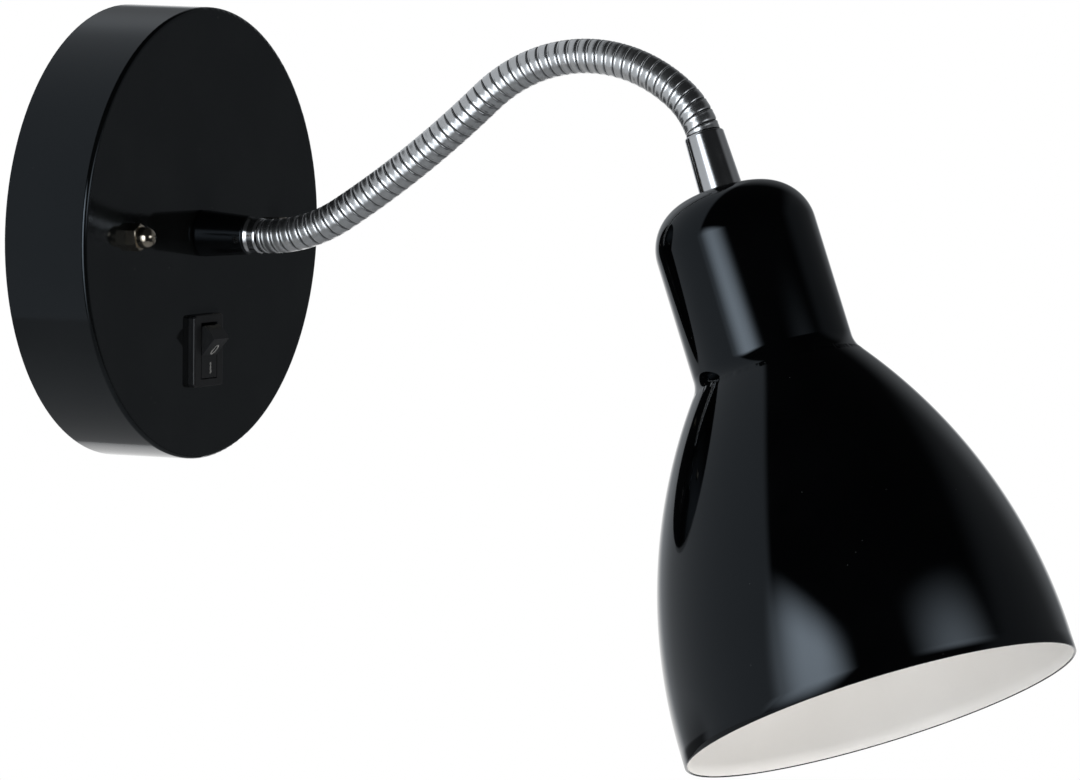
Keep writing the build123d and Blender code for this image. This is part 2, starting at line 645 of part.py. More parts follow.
def wound_length(number):
    """One length of the arm: its turns, its bore, a ball towards the shade and a cup towards the wall."""
    start, end = (number - 1) * LENGTH, number * LENGTH
    stations = []
    for turn_number in range(TURNS_PER_LENGTH):
        stations += rib_stations(start + turn_number * TURN_PITCH)
    low, high = start, end + BALL_RADIUS + 1
    if number > 1:
        stations[0] = (start + LAP, GROOVE_RADIUS)
        stations[1] = (start + LAP + GROOVE_SLOPE, ARM_RADIUS)
    with BuildPart() as wound:
        circles = []
        for distance, radius in stations:
            with BuildSketch(arm_plane(distance)) as circle:
                Circle(radius)
            circles.append(circle.sketch.face())
        loft(circles, ruled=True)
        if number == 1:
            low = -STUB_LENGTH
            rod(arm_plane(low), STUB_RADIUS, STUB_LENGTH + GROOVE_WIDTH)
        else:
            with Locations(arm_plane(start).location):
                Sphere(BALL_RADIUS + CUP_CLEARANCE, mode=Mode.SUBTRACT)
        if number == ARM_COUNT:
            high = end + STUB_LENGTH
            rod(arm_plane(high), STUB_RADIUS, -STUB_LENGTH - GROOVE_WIDTH)
        else:
            joint = arm_plane(end)
            root = 1.2
            with BuildSketch(section_of(joint)) as ball:
                with BuildLine():
                    shoulder = sqrt(BALL_RADIUS**2 - root**2)
                    ThreePointArc(
                        (shoulder, -root),
                        (BALL_RADIUS * cos(radians(30)), BALL_RADIUS * sin(radians(30))),
                        (0, BALL_RADIUS),
                    )
                    Polyline((0, BALL_RADIUS), (0, -root), (shoulder, -root))
                make_face()
            revolve(ball.sketch, axis=axis_of(joint))
        straight = arm_route(low, min(high, end))
        tube_along(straight, arm_plane(low), ARM_BORE, mode=Mode.SUBTRACT)
        if high > end:
            rod(arm_plane(end), ARM_BORE, high - end, mode=Mode.SUBTRACT)
    return wound


def flex_length(number):
    """One length of the flex inside the arm, with round ends at the laps."""
    start, end = (number - 1) * LENGTH, number * LENGTH
    round_end = FLEX_RADIUS + FLEX_GAP / 2
    low = FLEX_START - ARM_START if number == 1 else start + round_end
    high = ARM_LENGTH + FLEX_RUN if number == ARM_COUNT else end - round_end
    with BuildPart() as flex:
        tube_along(arm_route(low, high), arm_plane(low), FLEX_RADIUS)
        tips = []
        if number > 1:
            tips.append((arm_plane(low), -1))
        if number < ARM_COUNT:
            tips.append((arm_plane(high), 1))
        for plane, way in tips:
            with BuildSketch(section_of(plane)) as tip:
                with BuildLine():
                    ThreePointArc(
                        (FLEX_RADIUS, 0),
                        (FLEX_RADIUS * cos(radians(45)), way * FLEX_RADIUS * sin(radians(45))),
                        (0, way * FLEX_RADIUS),
                    )
                    Polyline((0, way * FLEX_RADIUS), (0, 0), (FLEX_RADIUS, 0))
                make_face()
            revolve(tip.sketch, axis=axis_of(plane))
    return flex


# Head: heights count up the shade's axis from its rim
FERRULE_TOP = SHADE_HEIGHT + FERRULE_LENGTH
ARM_END = arm_plane(ARM_LENGTH)
HEAD_UP = -ARM_END.z_dir
RIM_CENTRE = ARM_END.origin + ARM_END.z_dir * FERRULE_TOP
HEAD_BASE = Plane(RIM_CENTRE, x_dir=SIDE, z_dir=HEAD_UP)
HEAD_SECTION = section_of(HEAD_BASE)
HEAD_AXIS = axis_of(HEAD_BASE)

SHADE_INSIDE = SHADE_HEIGHT - SHEET
SHADE_NUT_TOP = SHADE_INSIDE - WASHER_SHEET
CAP_TOP = SHADE_NUT_TOP - TUBE_NUT_HEIGHT - EASY_FIT
CAP_END = CAP_TOP - HOLDER_CAP_LENGTH
HOLDER_MOUTH = CAP_END - HOLDER_BODY_LENGTH
TUBE_TOP = SHADE_HEIGHT + FERRULE_LENGTH * 0.5
TUBE_BOTTOM = CAP_TOP - HOLDER_THREAD_LENGTH
FLEX_RUN = FERRULE_TOP - TUBE_BOTTOM + 1.0


def shade_outline(inset):
    """Bell, neck and rounded top, moved in by the sheet where asked: arcs as (start, middle, end)."""
    bell, centre = BELL_RADIUS - inset, RIM_RADIUS - BELL_RADIUS
    neck, top = NECK_RADIUS - inset, SHADE_HEIGHT - inset
    crease = RIM_BAND + sqrt(bell**2 - (neck - centre) ** 2)
    half_way = (crease + RIM_BAND) / 2
    bow = NECK_TOP_ROUND - inset
    turn_in = NECK_RADIUS - NECK_TOP_ROUND
    round_base = SHADE_HEIGHT - NECK_TOP_ROUND
    return {
        "rim": (RIM_RADIUS - inset, 0),
        "bell": (
            (RIM_RADIUS - inset, RIM_BAND),
            (centre + sqrt(bell**2 - (half_way - RIM_BAND) ** 2), half_way),
            (neck, crease),
        ),
        "round": (
            (neck, round_base),
            (turn_in + bow * cos(radians(45)), round_base + bow * sin(radians(45))),
            (turn_in, top),
        ),
        "hole": (TUBE_RADIUS + EASY_FIT, top),
    }


with BuildPart() as shade:
    with BuildSketch(HEAD_SECTION) as shell:
        outer, inner = shade_outline(0.0), shade_outline(SHEET)
        with BuildLine():
            for line in (outer, inner):
                Line(line["rim"], line["bell"][0])
                ThreePointArc(*line["bell"])
                Line(line["bell"][2], line["round"][0])
                ThreePointArc(*line["round"])
                Line(line["round"][2], line["hole"])
            Line(outer["rim"], inner["rim"])
            Line(outer["hole"], inner["hole"])
        make_face()
        fillet(shell.vertices().sort_by_distance(outer["bell"][2])[0], CREASE_ROUND)
        fillet(shell.vertices().sort_by_distance(inner["bell"][2])[0], CREASE_ROUND + SHEET)
    revolve(shell.sketch, axis=HEAD_AXIS)

with BuildPart() as head_ferrule:
    turn(
        HEAD_SECTION,
        HEAD_AXIS,
        (
            (TUBE_RADIUS + FIT, SHADE_HEIGHT),
            (FERRULE_BASE_RADIUS, SHADE_HEIGHT),
            (FERRULE_TOP_RADIUS, FERRULE_TOP),
            (STUB_RADIUS + FIT, FERRULE_TOP),
            (STUB_RADIUS + FIT, FERRULE_TOP - STUB_LENGTH),
            (ARM_BORE, FERRULE_TOP - STUB_LENGTH),
            (ARM_BORE, TUBE_TOP + 1.0),
            (TUBE_RADIUS + FIT, TUBE_TOP + 1.0),
        ),
        rounds=((2, 0.8),),
    )

with BuildPart() as head_tube:
    turn(
        HEAD_SECTION,
        HEAD_AXIS,
        (
            (TUBE_BORE, TUBE_BOTTOM),
            (TUBE_RADIUS, TUBE_BOTTOM),
            (TUBE_RADIUS, TUBE_TOP),
            (TUBE_BORE, TUBE_TOP),
        ),
    )

with BuildPart() as shade_washer:
    turn(
        HEAD_SECTION,
        HEAD_AXIS,
        (
            (TUBE_RADIUS + EASY_FIT, SHADE_NUT_TOP),
            (WASHER_RADIUS, SHADE_NUT_TOP),
            (WASHER_RADIUS, SHADE_INSIDE),
            (TUBE_RADIUS + EASY_FIT, SHADE_INSIDE),
        ),
    )

with BuildPart() as shade_lock_nut:
    seat = HEAD_BASE.offset(SHADE_NUT_TOP)
    hexagon(seat, TUBE_NUT_FLATS, -TUBE_NUT_HEIGHT)
    rod(seat, TUBE_RADIUS + FIT, -TUBE_NUT_HEIGHT, mode=Mode.SUBTRACT)

# Lamp holder: threaded cap, body, core with its screws, screw shell and centre contact
CAP_SHOULDER = CAP_TOP - HOLDER_THREAD_LENGTH
CAP_INSIDE = HOLDER_RADIUS - HOLDER_WALL
with BuildPart() as holder_cap:
    turn(
        HEAD_SECTION,
        HEAD_AXIS,
        (
            (TUBE_RADIUS + FIT, CAP_TOP),
            (HOLDER_NECK_RADIUS, CAP_TOP),
            (HOLDER_NECK_RADIUS, CAP_SHOULDER + 1.0),
            (HOLDER_RADIUS, CAP_SHOULDER - 4.0),
            (HOLDER_RADIUS, CAP_END),
            (CAP_INSIDE, CAP_END),
            (CAP_INSIDE, CAP_SHOULDER - 5.0),
            (HOLDER_NECK_RADIUS - HOLDER_WALL, CAP_SHOULDER),
            (TUBE_RADIUS + FIT, CAP_SHOULDER),
        ),
        rounds=((1, 1.0), (2, 2.0), (3, 2.0)),
    )

CORE_TOP = CAP_END + 2.0
CORE_FOOT = CORE_TOP - CORE_HEIGHT
SOCKET_TOP = HOLDER_MOUTH + SOCKET_INSET + SOCKET_LENGTH
with BuildPart() as holder_body:
    turn(
        HEAD_SECTION,
        HEAD_AXIS,
        (
            (SOCKET_RADIUS + SOCKET_SHEET + FIT, HOLDER_MOUTH + SOCKET_INSET),
            (SOCKET_RADIUS + SOCKET_SHEET + 0.5, HOLDER_MOUTH),
            (HOLDER_RADIUS, HOLDER_MOUTH),
            (HOLDER_RADIUS, CAP_END),
            (CAP_INSIDE - FIT, CAP_END),
            (CAP_INSIDE - FIT, CAP_END + 4.0),
            (CORE_RADIUS + FIT, CAP_END + 4.0),
            (CORE_RADIUS + FIT, CORE_FOOT),
            (SOCKET_RADIUS + SOCKET_SHEET + FIT, CORE_FOOT),
        ),
        rounds=((2, 1.5),),
    )

HOLDER_SCREW_SEATS = [
    Plane(RIM_CENTRE + HEAD_UP * CORE_TOP + SIDE * side * HOLDER_SCREW_OFFSET, x_dir=SIDE, z_dir=HEAD_UP)
    for side in (-1, 1)
]
with BuildPart() as holder_core:
    rod(HEAD_BASE.offset(CORE_FOOT), CORE_RADIUS, CORE_HEIGHT)
    for seat in HOLDER_SCREW_SEATS:
        rod(seat, HOLDER_SCREW_RADIUS + FIT, -4.0, mode=Mode.SUBTRACT)

with BuildPart() as holder_shell:
    turn(
        HEAD_SECTION,
        HEAD_AXIS,
        (
            (SOCKET_RADIUS, HOLDER_MOUTH + SOCKET_INSET),
            (SOCKET_RADIUS + SOCKET_SHEET, HOLDER_MOUTH + SOCKET_INSET),
            (SOCKET_RADIUS + SOCKET_SHEET, SOCKET_TOP),
            (SOCKET_RADIUS, SOCKET_TOP),
        ),
    )

with BuildPart() as holder_contact:
    block(HEAD_BASE.offset(CORE_FOOT), CONTACT_WIDTH, CONTACT_REACH, -CONTACT_SHEET)
    crown = Plane(HEAD_BASE.offset(CORE_FOOT - CONTACT_SHEET).origin, x_dir=SIDE, z_dir=-HEAD_UP)
    turn(
        section_of(crown),
        axis_of(crown),
        ((0, 0), (2.0, 0), (1.4, 1.4), (0, 1.4)),
    )

with BuildPart() as holder_screws:
    for seat in HOLDER_SCREW_SEATS:
        rod(seat, HOLDER_SCREW_RADIUS, -3.8)
        rod(seat, HOLDER_SCREW_HEAD_RADIUS, HOLDER_SCREW_HEAD_HEIGHT)
        slot_floor = seat.offset(HOLDER_SCREW_HEAD_HEIGHT - 0.6)
        block(slot_floor, 3 * HOLDER_SCREW_HEAD_RADIUS, 0.6, 2.0, mode=Mode.SUBTRACT)


def head_point(side, out, height):
    """A point in the head, across the axis to the arm's side and along the swing, and up the axis."""
    return RIM_CENTRE + SIDE * side + SIDE.cross(HEAD_UP) * out + HEAD_UP * height


FLEX_FOOT = TUBE_BOTTOM - 1.0
BESIDE_SCREW = HOLDER_SCREW_HEAD_RADIUS + LEAD_RADIUS + LEAD_GAP
ON_CORE = CORE_TOP + LEAD_RADIUS + LEAD_GAP
with BuildPart() as holder_leads:
    for side in (-1, 1):
        begin = head_point(side * LEAD_RADIUS, 0, FLEX_FOOT)
        with BuildLine() as route:
            Spline(
                begin,
                head_point(side * 3.0, side * 3.5, (FLEX_FOOT + CORE_TOP) / 2 + 1.0),
                head_point(side * HOLDER_SCREW_OFFSET, side * BESIDE_SCREW, ON_CORE),
                tangents=(-HEAD_UP, SIDE * side),
            )
        tube_along(route.wire(), Plane(begin, z_dir=-HEAD_UP), LEAD_RADIUS)

# Leads behind the plate
DOWN, UP, TO_WALL = Vector(0, 0, -1), Vector(0, 0, 1), Vector(0, 1, 0)
POLE_FOOT = BLOCK_RISE + 4.0
BLADE_DEPTH = SWITCH_BACK - BLADE_TAIL + 1.5
BLADE_SIDE = BLADE_WIDTH / 2 + LEAD_RADIUS + LEAD_GAP
LAYER = FLEX_START - 6.5
lead_supply = lead(
    (
        (POLE_XS[0], -BARREL_DEPTH, POLE_FOOT),
        (POLE_XS[0], -BARREL_DEPTH, BLOCK_RISE - 4.0),
        (POLE_XS[0], -LAYER, -SUPPLY_BOW),
        (-BLADE_SIDE, -BLADE_DEPTH, 1.0 - SWITCH_DROP),
    ),
    DOWN,
    DOWN,
)
lead_switched = lead(
    (
        (LEAD_RADIUS, -FLEX_START, 0),
        (LEAD_RADIUS + 0.6, -LAYER - 1.5, -3.0),
        (BLADE_SIDE, -LAYER, -SWITCHED_BOW),
        (BLADE_SIDE, -BLADE_DEPTH, BLADE_PITCH + 1.0 - SWITCH_DROP),
    ),
    TO_WALL,
    DOWN,
)
lead_neutral = lead(
    (
        (-LEAD_RADIUS, -FLEX_START, 0),
        (-LEAD_RADIUS, -LAYER - 1.5, 3.0),
        (POLE_XS[1], -BARREL_DEPTH, BLOCK_RISE - 3.0),
        (POLE_XS[1], -BARREL_DEPTH, POLE_FOOT),
    ),
    TO_WALL,
    UP,
)
lead_earth = lead(
    (
        (TAG_TIP - 2.0, -TAG_DEPTH + LEAD_RADIUS + LEAD_GAP, 0.0),
        (TAG_TIP - 2.0, -TAG_DEPTH + 3.5, 5.0),
        (POLE_XS[2], -BARREL_DEPTH, BLOCK_RISE - 2.0),
        (POLE_XS[2], -BARREL_DEPTH, POLE_FOOT),
    ),
    UP,
    UP,
)

pieces = {
    "wall_plate": wall_plate,
    "wall_bracket": wall_bracket,
    "bracket_screws": bracket_screws,
    "bracket_lock_nuts": bracket_lock_nuts,
    "cap_nuts": cap_nuts,
    "switch_housing": switch_housing,
    "switch_rocker": switch_rocker,
    "switch_plunger": switch_plunger,
    "switch_lever": switch_lever,
    "switch_terminals": switch_terminals,
    "terminal_block": terminal_block,
    "terminal_barrels": terminal_barrels,
    "terminal_screws": terminal_screws,
    "block_screw": block_screw,
    "arm_boss": arm_boss,
    "boss_set_screw": boss_set_screw,
    "boss_tube": boss_tube,
    "boss_washer": boss_washer,
    "earth_tag": earth_tag,
    "boss_lock_nut": boss_lock_nut,
    "arm_collar": arm_collar,
    "head_ferrule": head_ferrule,
    "head_tube": head_tube,
    "shade": shade,
    "shade_washer": shade_washer,
    "shade_lock_nut": shade_lock_nut,
    "holder_cap": holder_cap,
    "holder_body": holder_body,
    "holder_core": holder_core,
    "holder_shell": holder_shell,
    "holder_contact": holder_contact,
    "holder_screws": holder_screws,
    "holder_leads": holder_leads,
    "lead_supply": lead_supply,
    "lead_switched": lead_switched,
    "lead_neutral": lead_neutral,
    "lead_earth": lead_earth,
}
for number in range(1, ARM_COUNT + 1):
    pieces[f"gooseneck_{number}"] = wound_length(number)
    pieces[f"arm_flex_{number}"] = flex_length(number)

os.makedirs("parts", exist_ok=True)
for name, piece in pieces.items():
    piece.part.label = name
    export_step(piece.part, f"parts/{name}.step")
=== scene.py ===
import json
from math import cos, degrees, pi, radians, sin, sqrt, tan

import bmesh
import bpy
from mathutils import Matrix, Vector


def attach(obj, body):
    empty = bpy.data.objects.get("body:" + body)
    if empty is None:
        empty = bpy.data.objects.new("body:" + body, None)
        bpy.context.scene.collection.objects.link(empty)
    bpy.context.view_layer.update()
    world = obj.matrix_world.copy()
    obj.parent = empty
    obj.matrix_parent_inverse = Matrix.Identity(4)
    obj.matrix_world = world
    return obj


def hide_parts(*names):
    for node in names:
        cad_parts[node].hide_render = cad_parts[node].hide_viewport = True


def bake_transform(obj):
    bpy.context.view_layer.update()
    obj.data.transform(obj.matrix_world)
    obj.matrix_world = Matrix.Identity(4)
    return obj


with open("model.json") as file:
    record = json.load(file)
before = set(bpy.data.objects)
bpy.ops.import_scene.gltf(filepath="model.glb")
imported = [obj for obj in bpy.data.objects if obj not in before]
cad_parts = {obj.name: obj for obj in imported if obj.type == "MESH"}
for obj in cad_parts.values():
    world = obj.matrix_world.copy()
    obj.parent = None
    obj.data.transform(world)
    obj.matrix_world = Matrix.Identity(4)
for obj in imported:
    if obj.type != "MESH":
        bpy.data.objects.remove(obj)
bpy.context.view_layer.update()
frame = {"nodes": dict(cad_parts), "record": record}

MM = 0.001

# Sizes shared with the part, in millimetres and degrees
ARM_START = 47.3
ARM_LEAN = 5.0
TURN_PITCH = 3.106
TURNS_PER_LENGTH = 6
ARM_COUNT = 9
ARM_BORE = 3.2
STUB_RADIUS = 4.2
STUB_LENGTH = 2.6
LEAD_STRAIGHT = 0.9
RISE_RADIUS, RISE_TURN = 46.8, 32.2
RUN_RADIUS, RUN_TURN = 312.0, 10.6
ARCH_RADIUS, ARCH_TURN = 49.3, 80.2
SHADE_TILT = 22.6
SHADE_HEIGHT = 155.5
SHADE_SHEET = 0.8
RIM_RADIUS = 57.6
RIM_BAND = 4.0
BELL_RADIUS = 160.0
NECK_RADIUS = 23.4
NECK_TOP_ROUND = 14.3
CREASE_ROUND = 8.0
NECK_HOLE = 5.2
FERRULE_LENGTH = 17.9
BOSS_TIP = 42.9
SPIGOT_RADIUS, SPIGOT_LENGTH = 3.9, 6.0
FIT = 0.05
LEAD_RADIUS = 0.95
FLEX_RADIUS = 1.9
FLEX_START = 14.9
POLE_STEP, POLE_DEPTH, POLE_FOOT = 8.6, 7.35, 20.0
BLADE_SIDE, BLADE_DEPTH = 3.45, 9.4
LEAD_LAYER = 8.4
SWITCH_DROP = 34.0
BEZEL_FRONT = 29.2
ROCKER_PIVOT_DEPTH = 3.8
ROCKER_TILT = 20.0
ROCKER_LENGTH = 17.5

LENGTH = TURN_PITCH * TURNS_PER_LENGTH
ARM_LENGTH = LENGTH * ARM_COUNT
DROP_TURN = RISE_TURN + RUN_TURN + 90.0 - SHADE_TILT - ARCH_TURN
BENDS = [
    (LEAD_STRAIGHT, 0.0),
    (RISE_RADIUS * radians(RISE_TURN), RISE_TURN),
    (RUN_RADIUS * radians(RUN_TURN), RUN_TURN),
    (ARCH_RADIUS * radians(ARCH_TURN), -ARCH_TURN),
]
BENDS.append((ARM_LENGTH - sum(length for length, _ in BENDS), -DROP_TURN))

SIDE = Vector((cos(radians(ARM_LEAN)), 0, -sin(radians(ARM_LEAN))))
RISE = Vector((sin(radians(ARM_LEAN)), 0, cos(radians(ARM_LEAN))))
OUTWARD = Vector((0, -1, 0))


# Finishes

class Value:
    """A number on a wire of a node tree; arithmetic on it adds Math nodes."""

    def __init__(self, tree, socket):
        self.tree, self.socket = tree, socket

    def math(self, operation, *terms):
        """Adds a Math node."""
        return self.tree.node("ShaderNodeMath", {"operation": operation}, dict(enumerate(terms)))

    def __add__(self, other):
        return self.math("ADD", self, other)

    __radd__ = __add__

    def __sub__(self, other):
        return self.math("SUBTRACT", self, other)

    def __rsub__(self, other):
        return self.math("SUBTRACT", other, self)

    def __mul__(self, other):
        return self.math("MULTIPLY", self, other)

    __rmul__ = __mul__

    def least(self, other):
        return self.math("MINIMUM", self, other)

    def most(self, other):
        return self.math("MAXIMUM", self, other)

    def step(self, low, high):
        """0 below low, 1 above high, smooth between."""
        settings = {"interpolation_type": "SMOOTHSTEP"}
        inputs = {"Value": self, "From Min": low, "From Max": high}
        return self.tree.node("ShaderNodeMapRange", settings, inputs)


class Nodes:
    """Adds nodes to a node tree."""

    def __init__(self, tree):
        self.tree = tree

    def node(self, kind, settings, inputs, output=0):
        """A node of a type, with its settings and then the values or links of its sockets."""
        made = self.tree.nodes.new(kind)
        for name, value in settings.items():
            setattr(made, name, value)
        for key, value in inputs.items():
            self.feed(made.inputs[key], value)
        return Value(self, made.outputs[output])

    def feed(self, socket, value):
        """Links a wire to a socket, or sets a plain value on it."""
        if isinstance(value, Value):
            self.tree.links.new(value.socket, socket)
        elif isinstance(value, tuple) and socket.type == "RGBA":
            socket.default_value = (*value, 1.0)
        else:
            socket.default_value = value

    def place(self):
        """Where a point is on the object, in metres."""
        return self.node("ShaderNodeTexCoord", {}, {}, output="Object")

    def parts_of(self, vector):
        """The three numbers of a vector."""
        first = self.node("ShaderNodeSeparateXYZ", {}, {0: vector})
        return [Value(self, socket) for socket in first.socket.node.outputs]

    def rays(self):
        """Whether a ray comes from the camera, from a mirror image or through something clear."""
        names = ("Is Camera Ray", "Is Glossy Ray", "Is Transmission Ray")
        outputs = self.node("ShaderNodeLightPath", {}, {}).socket.node.outputs
        return [Value(self, outputs[name]) for name in names]

    def dot(self, vector, other):
        """How far two directions agree."""
        settings = {"operation": "DOT_PRODUCT"}
        return self.node("ShaderNodeVectorMath", settings, {0: vector, 1: other}, output="Value")

    def stretch(self, vector, amounts):
        """A vector with each of its numbers multiplied."""
        return self.node("ShaderNodeVectorMath", {"operation": "MULTIPLY"}, {0: vector, 1: amounts})

    def noise(self, vector, scale, detail=2.0):
        """Soft noise between 0 and 1, with scale patches to the metre."""
        inputs = {"Vector": vector, "Scale": scale, "Detail": detail}
        return self.node("ShaderNodeTexNoise", {}, inputs, output="Fac")

    def mix(self, share, first, second):
        """A colour between two."""
        return self.node("ShaderNodeMix", {"data_type": "RGBA"}, {0: share, 6: first, 7: second}, output=2)


class Finish(Nodes):
    """A procedural material around one Principled shader."""

    def __init__(self, name, **fixed):
        self.material = bpy.data.materials.new(name)
        self.material.use_nodes = True
        super().__init__(self.material.node_tree)
        self.shader = self.tree.nodes["Principled BSDF"]
        for socket, value in fixed.items():
            self.feed(self.shader.inputs[socket.replace("_", " ")], value)

    def colour(self, value):
        self.feed(self.shader.inputs["Base Color"], value)

    def roughness(self, value):
        self.feed(self.shader.inputs["Roughness"], value)

    def bump(self, height, distance, strength):
        """Raises the surface by height times distance, in metres."""
        inputs = {"Height": height, "Distance": distance, "Strength": strength}
        self.feed(self.shader.inputs["Normal"], self.node("ShaderNodeBump", {}, inputs))

    def specks(self, scale, size, share):
        """Sparse round specks: 1 inside one, 0 elsewhere."""
        inputs = {"Vector": self.place(), "Scale": scale}
        near = self.node("ShaderNodeTexVoronoi", {"feature": "F1"}, inputs, output="Distance")
        pick = self.node("ShaderNodeTexVoronoi", {"feature": "F1"}, inputs, output="Color")
        chosen = self.parts_of(pick)[0].step(1 - share, 1 - share + 0.01)
        return (1 - near.step(size * 0.5, size)) * chosen


PALE_DUST = (0.045, 0.045, 0.043)
# Near-black colour that paints shade into the grooves between the arm's turns
GROOVE_SHADE = (0.02, 0.02, 0.021)
FINE_GRAIN = 0.00001
COOL_SHEEN = (0.80, 0.90, 1.0)


def enamel(name, black, gloss, haze):
    """Black stoving enamel: a soft orange peel, thin haze and a little dust."""
    paint = Finish(name, IOR=1.5, Specular_Tint=COOL_SHEEN)
    place = paint.place()
    cloud = paint.noise(place, 38.0, detail=3.0)
    dust = paint.specks(scale=420.0, size=0.11, share=0.05)
    tint = paint.mix(cloud.step(0.35, 0.75), black, tuple(1.5 * c + 0.0004 for c in black))
    paint.colour(paint.mix(dust * 0.5, tint, PALE_DUST))
    paint.roughness(gloss + haze * cloud.step(0.3, 0.8) + dust * 0.3)
    peel = paint.noise(place, 620.0, detail=1.0)
    paint.bump(peel + 8.0 * dust, distance=0.0000016, strength=0.5)
    return paint.material


def shade_white():
    """Off-white enamel inside the shade."""
    paint = Finish("shade_white", IOR=1.45)
    place = paint.place()
    cloud = paint.noise(place, 26.0, detail=4.0)
    paint.colour(paint.mix(cloud.step(0.3, 0.75), (0.765, 0.752, 0.735), (0.80, 0.79, 0.775)))
    paint.roughness(0.38 + 0.1 * cloud)
    paint.bump(paint.noise(place, 900.0, detail=2.0), distance=FINE_GRAIN, strength=0.5)
    return paint.material


def plated(name, bright, dull, gloss, grain=(1.0, 1.0, 1.0)):
    """Bright plate over turned metal, with fine lines and a faint bloom."""
    paint = Finish(name, Metallic=1.0)
    place = paint.place()
    lines = paint.noise(paint.stretch(place, grain), 900.0, detail=3.0)
    bloom = paint.noise(place, 90.0, detail=3.0).step(0.4, 0.8)
    paint.colour(paint.mix(bloom * 0.6, bright, dull))
    paint.roughness(gloss + 0.06 * bloom + 0.05 * lines)
    paint.bump(lines, distance=0.000004, strength=0.4)
    return paint.material


def wound_chrome():
    """Chrome strip of the arm: drawing lines along the strip and painted shade down in the grooves."""
    paint = Finish("wound_chrome", Metallic=1.0)
    strip = paint.node("ShaderNodeUVMap", {"uv_map": "strip"}, {})
    across = paint.parts_of(strip)[1]
    groove = 1 - across.least(1 - across).step(0.015, 0.075)
    lines = paint.noise(paint.stretch(strip, (3.0, 60.0, 1.0)), 1.0, detail=3.0)
    bloom = paint.noise(paint.place(), 120.0, detail=3.0).step(0.4, 0.8)
    metal = paint.mix(bloom * 0.5, (0.93, 0.93, 0.93), (0.80, 0.80, 0.79))
    # Painted shade: the grooves between turns are coloured nearly black
    paint.colour(paint.mix(groove, metal, GROOVE_SHADE))
    paint.roughness(0.23 + 0.06 * lines + 0.06 * bloom + 0.3 * groove)
    paint.bump(lines, distance=0.000012, strength=0.5)
    return paint.material


def zinc():
    """Zinc-plated steel: dull bluish grey with a fine grain."""
    paint = Finish("zinc_plate", Metallic=1.0)
    place = paint.place()
    cloud = paint.noise(place, 160.0, detail=4.0)
    paint.colour(paint.mix(cloud.step(0.3, 0.7), (0.46, 0.47, 0.48), (0.60, 0.60, 0.58)))
    paint.roughness(0.30 + 0.16 * cloud)
    paint.bump(paint.noise(place, 2200.0, detail=2.0), distance=FINE_GRAIN, strength=0.4)
    return paint.material


def brass():
    """Plain brass with a little tarnish."""
    paint = Finish("brass", Metallic=1.0)
    cloud = paint.noise(paint.place(), 240.0, detail=4.0).step(0.35, 0.75)
    paint.colour(paint.mix(cloud, (0.72, 0.52, 0.22), (0.48, 0.33, 0.14)))
    paint.roughness(0.22 + 0.18 * cloud)
    paint.bump(cloud, distance=0.000006, strength=0.4)
    return paint.material


def moulded(name, light, dark, gloss, grain=FINE_GRAIN):
    """Moulded plastic or ceramic with a fine grain."""
    paint = Finish(name, IOR=1.48)
    place = paint.place()
    cloud = paint.noise(place, 130.0, detail=3.0)
    paint.colour(paint.mix(cloud.step(0.3, 0.75), dark, light))
    paint.roughness(gloss + 0.12 * cloud)
    paint.bump(paint.noise(place, 2600.0, detail=2.0), distance=grain, strength=0.5)
    return paint.material


def striped_lead():
    """Green insulation with a yellow stripe that turns about it."""
    paint = Finish("earth_insulation", IOR=1.48)
    x, _, z = paint.parts_of(paint.place())
    band = paint.node("ShaderNodeMath", {"operation": "SINE"}, {0: (x + 0.6 * z) * 1300.0})
    stripe = band.step(-0.1, 0.15)
    paint.colour(paint.mix(stripe, (0.03, 0.22, 0.04), (0.78, 0.62, 0.04)))
    paint.roughness(0.42 + 0.1 * paint.noise(paint.place(), 900.0))
    return paint.material


SHADE_ENAMEL = enamel("shade_enamel", (0.0006, 0.0006, 0.0007), 0.045, 0.03)
PLATE_ENAMEL = enamel("plate_enamel", (0.0022, 0.0024, 0.0024), 0.075, 0.04)
SHADE_WHITE = shade_white()
WOUND_CHROME = wound_chrome()
MARK_INK = moulded("mark_ink", (0.145, 0.145, 0.142), (0.115, 0.115, 0.112), 0.5)

FINISHES = {
    "black_paint": PLATE_ENAMEL,
    "chrome": plated("bright_chrome", (0.90, 0.90, 0.91), (0.78, 0.78, 0.78), 0.10, (1.0, 1.0, 0.05)),
    "nickel": plated("warm_nickel", (0.66, 0.58, 0.47), (0.52, 0.45, 0.36), 0.10),
    "zinc_steel": zinc(),
    "switch_plastic": moulded("switch_plastic", (0.0070, 0.0072, 0.0078), (0.0054, 0.0056, 0.0060), 0.30),
    "brass": brass(),
    "clear_nylon": moulded("milky_nylon", (0.74, 0.72, 0.66), (0.66, 0.63, 0.56), 0.42, 0.00002),
    "holder_plastic": moulded("holder_plastic", (0.030, 0.028, 0.026), (0.020, 0.019, 0.018), 0.40, 0.00003),
    "ceramic": moulded("holder_ceramic", (0.78, 0.77, 0.73), (0.70, 0.68, 0.63), 0.55, 0.00004),
    "brown_lead": moulded("brown_insulation", (0.16, 0.07, 0.03), (0.11, 0.045, 0.02), 0.42),
    "blue_lead": moulded("blue_insulation", (0.03, 0.13, 0.46), (0.02, 0.09, 0.36), 0.42),
    "earth_lead": striped_lead(),
    "white_lead": moulded("white_insulation", (0.74, 0.73, 0.69), (0.66, 0.64, 0.59), 0.5),
    "flex_sheath": moulded("flex_sheath", (0.03, 0.03, 0.03), (0.02, 0.02, 0.02), 0.5, 0.00002),
}
OWN_FINISHES = {
    "arm_boss": enamel("boss_enamel", (0.0012, 0.0013, 0.0014), 0.17, 0.03),
    "boss_set_screw": plated("black_steel", (0.10, 0.10, 0.10), (0.06, 0.06, 0.06), 0.24),
}
